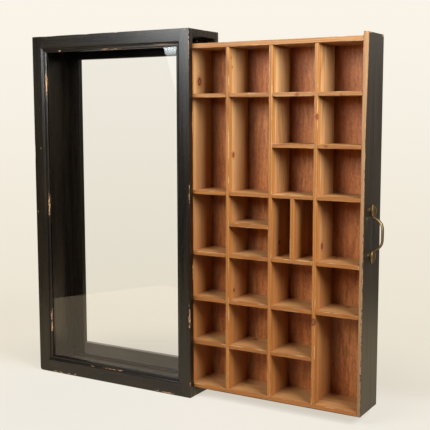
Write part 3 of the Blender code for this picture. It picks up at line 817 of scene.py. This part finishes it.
def stile_shape(flat, half_length, flats, place, rounding):
    """A stile's moulding is mitred nearer one end than the other, so it is made off centre."""
    low_reach = half_length - flats["front_rail_bottom"]
    high_reach = half_length - flats["front_rail_top"]
    reach = (low_reach + high_reach) / 2
    offset = (high_reach - low_reach) / 2
    shape = member_shape(flat, half_length, reach, Matrix.Identity(4), rounding)
    for vert in shape.verts:
        if abs(vert.co.x) < reach + EASE:
            vert.co.x += offset
    bmesh.ops.transform(shape, matrix=place, verts=shape.verts)
    bmesh.ops.recalc_face_normals(shape, faces=shape.faces)
    return shape


def finish_member(node, axis, shape):
    low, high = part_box(node)
    spots = MEMBER_SPOTS[node]
    dent(shape, low, high, axis, spots, MEMBER_DENT)
    material = black_paint(node + "_paint", axis, low, high, spots, dust=FRAME_DUST)
    add_piece(node + "_moulded", shape, material, "black_paint", "case", node)


def make_case_boards():
    """The carcass, the back frame, the runners and the stop: plain boards in black paint."""
    axes = {
        "case_top": 0, "case_bottom": 0, "case_left_side": 2,
        "back_stile_left": 2, "back_stile_right": 2, "back_rail_bottom": 0,
        "glass_bead_left": 2, "glass_bead_right": 2, "glass_bead_top": 0, "glass_bead_bottom": 0,
        "runner_front": 0, "runner_back": 0, "tray_stop": 1,
    }
    for node, axis in axes.items():
        low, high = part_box(node)
        spots = TOP_SPOTS if node == "case_top" else ()
        film = DUST_FILMS.get(node, 0.0)
        material = black_paint(
            node + "_paint", axis, low, high, spots, dust=BOARD_DUST, film=film,
            smooth=DUSTY_ROUGHNESS if film else PAINT_ROUGHNESS,
            shine=CASE_TOP_SHINE if node == "case_top" else PAINT_SHINE,
            sound=0.0 if node.startswith("case") else INNER_SOUNDNESS)
        shape = board_shape(low, high, axis, spots)
        add_piece(node + "_board", shape, material, "black_paint", "case", node)
    low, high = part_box("back_rail_top")
    refinish("back_rail_top", black_paint("back_rail_top_paint", 0, low, high))


def make_glass():
    low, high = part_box("front_glass")
    shape = box_shape(low, high)
    bevel_edges(shape, shape.edges[:], PANE_EASE)
    add_piece("front_glass_pane", shape, pane_glass("pane_glass"), "glass", "case", "front_glass")


# The tray

UPRIGHTS = ("tray_end_left", "tray_divider_1", "tray_divider_2", "tray_divider_3", "tray_end_right")

KNOTS = {
    "tray_end_left": ((mm(168.5, -8, 552), 5.6 * MM),),
    "tray_divider_1": ((mm(243, -28, 589), 1.4 * MM), (mm(243, -25, 574), 1.5 * MM),
                       (mm(243, -21, 428), 3.4 * MM), (mm(243, -18, 195), 2.6 * MM)),
    "tray_divider_2": ((mm(323, -5, 283), 2.6 * MM),),
    "tray_divider_3": ((mm(403, -36.5, 492), 3.6 * MM), (mm(403, -12, 283), 3.8 * MM),
                       (mm(399.5, -36.5, 162), 4.6 * MM)),
    "shelf_3_6": ((mm(367, -36.5, 527.5), 2.2 * MM),),
    "shelf_4_5": ((mm(442, -36.5, 526), 1.4 * MM),),
    "shelf_4_4": ((mm(418, -36.5, 446), 2.0 * MM),),
    "shelf_2_1": ((mm(265, 20, 102.8), 3.0 * MM),),
    "shelf_4_2": ((mm(416, 13, 260.8), 3.0 * MM),),
    "shelf_4_1": ((mm(439, 15, 181), 3.0 * MM),),
}
SHELF_DEEP = 0.3
# Strength of the painted shade along the tray bottom's lower face.
BOTTOM_UNDER_SHADE = 0.8
PLY_EASE = 0.2 * MM
PLY_CHIPS = (
    (mm(192, 32.5, 533), mm(3.0, 2.0, 1.2)), (mm(311, 32.5, 272), mm(1.4, 2.0, 1.6)),
    (mm(194, 32.5, 80), mm(1.6, 2.0, 1.4)),
)
END_SPOTS = (
    (mm(482.5, -36.5, 602), mm(1.2, 2.2, 19)), (mm(482.5, -22, 621), mm(1.2, 5.0, 2.4)),
    (mm(482.5, 36, 620), mm(1.4, 6.0, 3.4)), (mm(482.5, 0, 611), mm(1.0, 0.9, 0.9)),
    (mm(482.5, -27, 453), mm(1.0, 1.0, 1.2)), (mm(482.5, -36.5, 428), mm(1.2, 2.2, 18)),
    (mm(482.5, -36.5, 237), mm(1.2, 2.0, 11)), (mm(480, -36.5, 193), mm(1.6, 1.6, 2.0)),
)


def make_tray_boards():
    """The pine boards, each with its own grain, then the end board and the plywood back."""
    boards = [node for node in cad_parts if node.startswith(("tray_divider", "shelf_"))]
    boards += ["tray_end_left", "tray_bottom", "tray_top", "tray_upright"]
    for number, node in enumerate(sorted(boards), start=1):
        axis = 0 if node.startswith("shelf_") or node in ("tray_top", "tray_bottom") else 2
        low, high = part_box(node)
        deep = SHELF_DEEP if node.startswith("shelf_") else 0.0
        # The tray's bottom board gets painted shade along its lower face.
        under_shade = BOTTOM_UNDER_SHADE if node == "tray_bottom" else 0.0
        material = pine(node + "_pine", axis, low, high, number, KNOTS.get(node, ()), deep, under_shade)
        add_piece(node + "_board", board_shape(low, high, axis), material, "pine", "tray", node)
    low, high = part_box("tray_end_right")
    add_piece("tray_end_right_board", board_shape(low, high, 2, END_SPOTS),
              painted_end("tray_end_right_finish", low, high, END_SPOTS),
              "end_board", "tray", "tray_end_right")
    boxes = [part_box(node) for node in UPRIGHTS]
    uprights = [(left.x, right.x) for left, right in boxes]
    low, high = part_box("tray_back_panel")
    add_piece("tray_back_panel_ply", board_shape(low, high, 2, ease=PLY_EASE),
              red_ply("tray_back_panel_finish", low, PLY_CHIPS, uprights), "red_plywood", "tray",
              "tray_back_panel")


# The handle

HANDLE_HALF_LENGTH = 48 * MM
FOOT_LENGTH = 22.5 * MM
FOOT_WIDTH = 18 * MM
FOOT_THICKNESS = 4.4 * MM
FOOT_DISH = 1.5 * MM
FOOT_EDGE_SHARE = 0.78
STRAP_HALF_SPAN = 26 * MM
STRAP_REACH = 16.0 * MM
STRAP_WIDTH = 7.4 * MM
STRAP_NECK_WIDTH = 4.4 * MM
STRAP_THICKNESS = 3.0 * MM
STRAP_BEND = 1.6 * MM
TIP_THICKNESS = 1.4 * MM
TIP_WIDTH = 1.6 * MM
BOW_POWER = 4.6
LEAF_POWER = 0.75
EDGE_SHARE = 0.35
HANDLE_STATIONS = 141
HANDLE_SECTION_STEPS = 22
HANDLE_GAP = 0.3 * MM
HANDLE_SHARP_ANGLE = math.radians(50)


def bow(height):
    """How far the strap's inner side stands off the board at a height from the middle."""
    rise = STRAP_REACH * (1 - (abs(height) / STRAP_HALF_SPAN) ** BOW_POWER)
    return (rise + math.sqrt(rise * rise + STRAP_BEND * STRAP_BEND)) / 2


def handle_section(height):
    """Half-width, thickness and dish of the handle at a height from its middle."""
    from_tip = (HANDLE_HALF_LENGTH - abs(height)) / FOOT_LENGTH
    foot = math.sin(math.pi * from_tip) if 0.0 < from_tip < 1.0 else 0.0
    on_strap = abs(height) < HANDLE_HALF_LENGTH - FOOT_LENGTH / 2
    least_width = STRAP_NECK_WIDTH if on_strap else TIP_WIDTH
    least_thickness = STRAP_THICKNESS if on_strap else TIP_THICKNESS
    grip = max(0.0, 1 - (height / STRAP_HALF_SPAN) ** 2)
    width = max(least_width + (STRAP_WIDTH - STRAP_NECK_WIDTH) * grip,
                FOOT_WIDTH * foot ** LEAF_POWER)
    thickness = least_thickness + (FOOT_THICKNESS - least_thickness) * foot
    return width / 2, thickness, foot


def section_points(height):
    """A section's points as (across, out, rubbed): flat behind, domed in front, dished on a foot."""
    half_width, thickness, foot = handle_section(height)
    edge_share = EDGE_SHARE + (FOOT_EDGE_SHARE - EDGE_SHARE) * foot
    points = []
    for step in range(HANDLE_SECTION_STEPS + 1):
        turn = math.pi * step / HANDLE_SECTION_STEPS
        across = -math.cos(turn)
        swell = edge_share + (1 - edge_share) * math.sqrt(max(0.0, math.sin(turn)))
        hollow = FOOT_DISH * foot * (1 - across * across)
        points.append((half_width * across, thickness * swell - hollow, across ** 4))
    points.append((half_width, 0.0, 0.0))
    points.append((-half_width, 0.0, 0.0))
    return points


def make_handle():
    """Lofts the handle's sections along its bow: X out of the board, Y across and Z up."""
    low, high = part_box("handle")
    middle = Vector((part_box("tray_end_right")[1].x + HANDLE_GAP, (low.y + high.y) / 2,
                     (low.z + high.z) / 2))
    shape = bmesh.new()
    rubbed = shape.verts.layers.float.new("rubbed")
    reach = HANDLE_HALF_LENGTH - TIP_WIDTH / 2
    earlier = None
    for station in range(HANDLE_STATIONS):
        height = reach * (2 * station / (HANDLE_STATIONS - 1) - 1)
        slope = (bow(height + STRAP_BEND / 2) - bow(height - STRAP_BEND / 2)) / STRAP_BEND
        outward = Vector((1, 0, -slope)).normalized()
        base = middle + Vector((bow(height), 0, height))
        verts = []
        for across, out, wear in section_points(height):
            vert = shape.verts.new(base + Vector((0, across, 0)) + outward * out)
            vert[rubbed] = wear
            verts.append(vert)
        edges = [shape.edges.new((a, b)) for a, b in zip(verts, verts[1:] + verts[:1])]
        if earlier:
            bmesh.ops.bridge_loops(shape, edges=earlier + edges)
        else:
            shape.faces.new(verts)
        earlier = edges
    shape.faces.new(verts)
    bmesh.ops.recalc_face_normals(shape, faces=shape.faces)
    add_piece("handle_casting", shape, aged_brass("aged_brass"), "aged_brass", "tray", "handle",
              sharp_angle=HANDLE_SHARP_ANGLE)


def make_fittings():
    """The hanging plates and every screw keep their CAD shapes, in steel."""
    zinc = steel("zinc_steel")
    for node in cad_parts:
        if node.startswith(("hanging_plate", "plate_screw", "handle_screw")):
            refinish(node, zinc)


# Floor, background, lights and camera

FLOOR_COLOUR = shown(250, 242, 227)
SWEEP_COLOUR = shown(240, 231, 213)
WALL_HIGH = shown(250, 244, 233)
WALL_LOW = shown(235, 227, 209)
DARK_ROOM = shown(20, 19, 18)
DIM_SIDE = shown(56, 44, 32)
FILL = shown(32, 31, 30)
FLOOR_MIRRORED = shown(240, 216, 176)
FLOOR_GLOW_NEAR = 0.66
FLOOR_GLOW_FAR = 0.92
FLOOR_MATT = 0.86
FLOOR_MIDDLE = Vector((0.2, -0.1, 0))
FLOOR_CORNER = Vector((-0.43, -0.86, 0))
FLOOR_TURN = math.radians(27)
FLOOR_SIZE = (2.6, 2.6)
FLOOR_DROP = 0.4 * MM
SWEEP_NORMAL = Vector((-0.238, 0.971, 0))
SWEEP_START = (-0.03, 0.10)
FLOOR_FADE = (0.30, 0.75)
GLOW_REACH = (0.22, 0.65)
WALL_FADE = (-0.30, 0.14)
ROOM_FADE = (-0.25, 0.25)
DIM_SIDE_FADE = (0.05, 0.30)
DIM_SIDE_TOP = (0.0, 0.22)


def seen_rays(wire):
    """1 for rays from the camera and for those that a mirror or a clear pane sends on."""
    path = "ShaderNodeLightPath"
    camera = wire.node(path, None, None, "Is Camera Ray")
    glossy = wire.node(path, None, None, "Is Glossy Ray")
    through = wire.node(path, None, None, "Is Transmission Ray")
    return camera.most(glossy).most(through)


def make_floor():
    """A pale sheet under the cabinet, which ends in front as a table does and fades out behind."""
    shape = bmesh.new()
    bmesh.ops.create_grid(shape, x_segments=1, y_segments=1, size=0.5)
    bmesh.ops.scale(shape, vec=(FLOOR_SIZE[0], FLOOR_SIZE[1], 1), verts=shape.verts)
    bmesh.ops.translate(shape, vec=(FLOOR_SIZE[0] / 2, FLOOR_SIZE[1] / 2, -FLOOR_DROP),
                        verts=shape.verts)
    place = Matrix.Translation(FLOOR_CORNER) @ Matrix.Rotation(FLOOR_TURN, 4, "Z")
    bmesh.ops.transform(shape, matrix=place, verts=shape.verts)
    mesh = bpy.data.meshes.new("floor")
    shape.to_mesh(mesh)
    shape.free()
    material, spot = new_material("floor_paper")
    behind = spot.node("ShaderNodeVectorMath", {"operation": "DOT_PRODUCT"},
                       {0: spot, 1: SWEEP_NORMAL}, "Value")
    colour = behind.soft(*SWEEP_START).mix(FLOOR_COLOUR, SWEEP_COLOUR)
    matt = spot.node("ShaderNodeBsdfDiffuse", None, {"Color": colour * FLOOR_MATT})
    glossy = spot.node("ShaderNodeLightPath", None, None, "Is Glossy Ray")
    glow = spot.node("ShaderNodeEmission", None,
                     {"Color": glossy.mix(colour, FLOOR_MIRRORED), "Strength": 1.0})
    away = (spot - FLOOR_MIDDLE).length().soft(*GLOW_REACH)
    share = away * (FLOOR_GLOW_FAR - FLOOR_GLOW_NEAR) + FLOOR_GLOW_NEAR
    paper = spot.node("ShaderNodeMixShader", None, {0: seen_rays(spot) * share, 1: matt, 2: glow})
    gone = spot.node("ShaderNodeBsdfTransparent")
    show(spot, spot.node("ShaderNodeMixShader", None,
                         {0: behind.soft(*FLOOR_FADE), 1: paper, 2: gone}))
    mesh.materials.append(material)
    floor = bpy.data.objects.new("floor", mesh)
    bpy.context.scene.collection.objects.link(floor)


def make_background():
    """Pale backdrop to the eye; mirrors see it behind the cabinet, and a dim side and dark room."""
    world = bpy.data.worlds.new("studio")
    bpy.context.scene.world = world
    tree = new_tree(world)
    aim = Wire(tree.nodes.new("ShaderNodeTexCoord").outputs["Generated"])
    wall = aim.part(2).soft(*WALL_FADE).mix(WALL_LOW, WALL_HIGH)
    room = aim.part(1).soft(*ROOM_FADE).mix(DARK_ROOM, wall)
    beside = aim.part(0).soft(*DIM_SIDE_FADE) * (1 - aim.part(2).soft(*DIM_SIDE_TOP))
    room = beside.mix(room, DIM_SIDE)
    glossy = aim.node("ShaderNodeLightPath", None, None, "Is Glossy Ray")
    colour = seen_rays(aim).mix(FILL, wall)
    colour = glossy.mix(colour, room)
    surface = aim.node("ShaderNodeBackground", None, {"Color": colour, "Strength": 1.0})
    aim.node("ShaderNodeOutputWorld", None, {"Surface": surface})


def dim_lower_edge(lamp, low, high, least):
    """A softbox is dimmer towards its edge: this one falls off between two heights."""
    tree = new_tree(lamp)
    spot = Wire(tree.nodes.new("ShaderNodeNewGeometry").outputs["Position"])
    strength = spot.part(2).soft(low, high) * (1 - least) + least
    glow = spot.node("ShaderNodeEmission", None, {"Strength": strength})
    spot.node("ShaderNodeOutputLight", None, {"Surface": glow})


def add_lamp(name, place, target, size, power, colour, roll=0.0):
    """A softbox that faces a target. It lights and is mirrored, but the camera doesn't see it."""
    data = bpy.data.lights.new(name, "AREA")
    data.shape = "RECTANGLE"
    data.size, data.size_y = size
    data.energy = power
    data.color = colour
    lamp = bpy.data.objects.new(name, data)
    lamp.location = place
    turn = (target - place).to_track_quat("-Z", "Y").to_matrix() @ Matrix.Rotation(roll, 3, "Z")
    lamp.rotation_euler = turn.to_euler()
    lamp.visible_camera = False
    bpy.context.scene.collection.objects.link(lamp)
    return data


LEFT_PLACE = Vector((-0.177, -1.135, 0.88))
LEFT_TARGET = Vector((0.023, -0.155, 0.88))
LEFT_SIZE = (0.85, 0.65)
LEFT_POWER = 20.5
LEFT_COLOUR = (0.93, 0.97, 1.0)
LEFT_ROLL = math.radians(16)
LEFT_EDGE_LOW = 0.668
LEFT_EDGE_HIGH = 0.702
LEFT_EDGE_SHARE = 0.10
RIGHT_PLACE = Vector((1.28, -0.45, 1.02))
RIGHT_TARGET = Vector((0.40, 0.01, 1.02))
RIGHT_SIZE = (0.6, 0.75)
RIGHT_POWER = 19.8
RIGHT_COLOUR = (1.0, 1.0, 1.0)
RIGHT_SPREAD = math.radians(130)


def make_lights():
    left = add_lamp("left_softbox", LEFT_PLACE, LEFT_TARGET, LEFT_SIZE, LEFT_POWER, LEFT_COLOUR,
                    LEFT_ROLL)
    dim_lower_edge(left, LEFT_EDGE_LOW, LEFT_EDGE_HIGH, LEFT_EDGE_SHARE)
    right = add_lamp("right_softbox", RIGHT_PLACE, RIGHT_TARGET, RIGHT_SIZE, RIGHT_POWER,
                     RIGHT_COLOUR)
    right.spread = RIGHT_SPREAD


CAMERA_PLACE = Vector((0.9515, -1.2927, 0.4968))
CAMERA_YAW = math.radians(30.35)
CAMERA_TILT = math.radians(83.30)
CAMERA_ROLL = math.radians(-0.08)
CAMERA_LENS = 72.07
CAMERA_SENSOR = 36.0


def make_camera():
    data = bpy.data.cameras.new("camera")
    data.lens = CAMERA_LENS
    data.sensor_width = CAMERA_SENSOR
    camera = bpy.data.objects.new("camera", data)
    turn = (Matrix.Rotation(CAMERA_YAW, 4, "Z") @ Matrix.Rotation(CAMERA_TILT, 4, "X")
            @ Matrix.Rotation(CAMERA_ROLL, 4, "Z"))
    camera.matrix_world = Matrix.Translation(CAMERA_PLACE) @ turn
    bpy.context.scene.collection.objects.link(camera)
    bpy.context.scene.camera = camera


make_camera()
make_front_frame()
make_case_boards()
make_glass()
make_tray_boards()
make_handle()
make_fittings()
make_floor()
make_background()
make_lights()
bpy.context.scene.view_settings.view_transform = "Standard"
